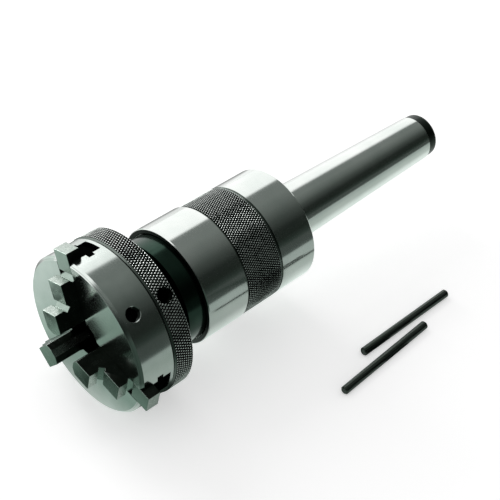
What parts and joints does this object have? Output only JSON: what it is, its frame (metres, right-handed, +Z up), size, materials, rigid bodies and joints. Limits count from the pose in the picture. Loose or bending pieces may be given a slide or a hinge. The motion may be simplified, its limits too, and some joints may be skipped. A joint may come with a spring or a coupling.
{
  "type": "live center with chuck",
  "caption": "Revolving lathe tailstock centre with a Morse taper shank and a small scroll chuck whose jaws hold round work while it turns; tommy bars lie beside it.",
  "frame": {"origin": "centre of the Morse taper's gauge plane", "axes": "+X along the turning axis towards the chuck's jaws, +Z up, +Y to the side where the tommy bars lie"},
  "size_m": [0.1991, 0.0992, 0.0687],
  "materials": {
    "ground_steel": "fine ground, bright",
    "black_knurl": "black oxide over a diamond knurl",
    "spring_steel": "phosphated",
    "bearing_steel": "hardened and ground",
    "brass_cage": "machined",
    "seal_rubber": "moulded",
    "black_steel": "black oxide, turned",
    "chuck_steel": "turned and ground, lightly darkened",
    "ring_steel": "diamond knurled",
    "jaw_steel": "hardened, ground flats",
    "bar_steel": "black oxide"
  },
  "bodies": {
    "arbor": {"arbor_housing": "ground_steel", "knurled_collar": "black_knurl", "front_sleeve": "ground_steel", "preload_spring": "spring_steel", "rear_outer_race": "bearing_steel", "thrust_housing_washer": "bearing_steel", "front_outer_race": "bearing_steel", "housing_circlip": "spring_steel", "dust_seal": "seal_rubber", "tommy_bar_1": "bar_steel", "tommy_bar_2": "bar_steel"},
    "spindle": {"spindle": "black_steel", "rear_inner_race": "bearing_steel", "spindle_circlip": "spring_steel", "thrust_shaft_washer": "bearing_steel", "bearing_spacer": "bearing_steel", "front_inner_race": "bearing_steel", "chuck_body": "chuck_steel", "back_plate": "black_steel", "back_plate_screws": "black_steel"},
    "rear_ball_train": {"rear_balls": "bearing_steel", "rear_cage": "brass_cage"},
    "thrust_ball_train": {"thrust_balls": "bearing_steel", "thrust_cage": "brass_cage"},
    "front_ball_train": {"front_balls": "bearing_steel", "front_cage": "brass_cage"},
    "scroll": {"scroll_ring": "ring_steel"},
    "jaw_1": {"jaw_1": "jaw_steel"},
    "jaw_2": {"jaw_2": "jaw_steel"},
    "jaw_3": {"jaw_3": "jaw_steel"}
  },
  "joints": [
    {"name": "spindle_spin", "type": "hinge", "parent": "arbor", "child": "spindle", "pos_m": [0.05, 0, 0], "axis": [1, 0, 0], "continuous": true},
    {"name": "rear_train_spin", "type": "hinge", "parent": "arbor", "child": "rear_ball_train", "pos_m": [0.021, 0, 0], "axis": [1, 0, 0], "continuous": true},
    {"name": "thrust_train_spin", "type": "hinge", "parent": "arbor", "child": "thrust_ball_train", "pos_m": [0.0431, 0, 0], "axis": [1, 0, 0], "continuous": true},
    {"name": "front_train_spin", "type": "hinge", "parent": "arbor", "child": "front_ball_train", "pos_m": [0.0551, 0, 0], "axis": [1, 0, 0], "continuous": true},
    {"name": "scroll_turn", "type": "hinge", "parent": "spindle", "child": "scroll", "pos_m": [0.09, 0, 0], "axis": [1, 0, 0], "range_deg": [-514, 617]},
    {"name": "jaw_1_slide", "type": "slide", "parent": "spindle", "child": "jaw_1", "axis": [0, -0.2588, 0.9659], "range_m": [-0.006, 0.005]},
    {"name": "jaw_2_slide", "type": "slide", "parent": "spindle", "child": "jaw_2", "axis": [0, -0.7071, -0.7071], "range_m": [-0.006, 0.005]},
    {"name": "jaw_3_slide", "type": "slide", "parent": "spindle", "child": "jaw_3", "axis": [0, 0.9659, -0.2588], "range_m": [-0.006, 0.005]}
  ],
  "couplings": [
    {"joint": "rear_train_spin", "follows": "spindle_spin", "ratio": 0.39444},
    {"joint": "thrust_train_spin", "follows": "spindle_spin", "ratio": 0.5},
    {"joint": "front_train_spin", "follows": "spindle_spin", "ratio": 0.40769},
    {"joint": "jaw_1_slide", "follows": "scroll_turn", "m_per_rad": -0.00055704},
    {"joint": "jaw_2_slide", "follows": "scroll_turn", "m_per_rad": -0.00055704},
    {"joint": "jaw_3_slide", "follows": "scroll_turn", "m_per_rad": -0.00055704}
  ]
}
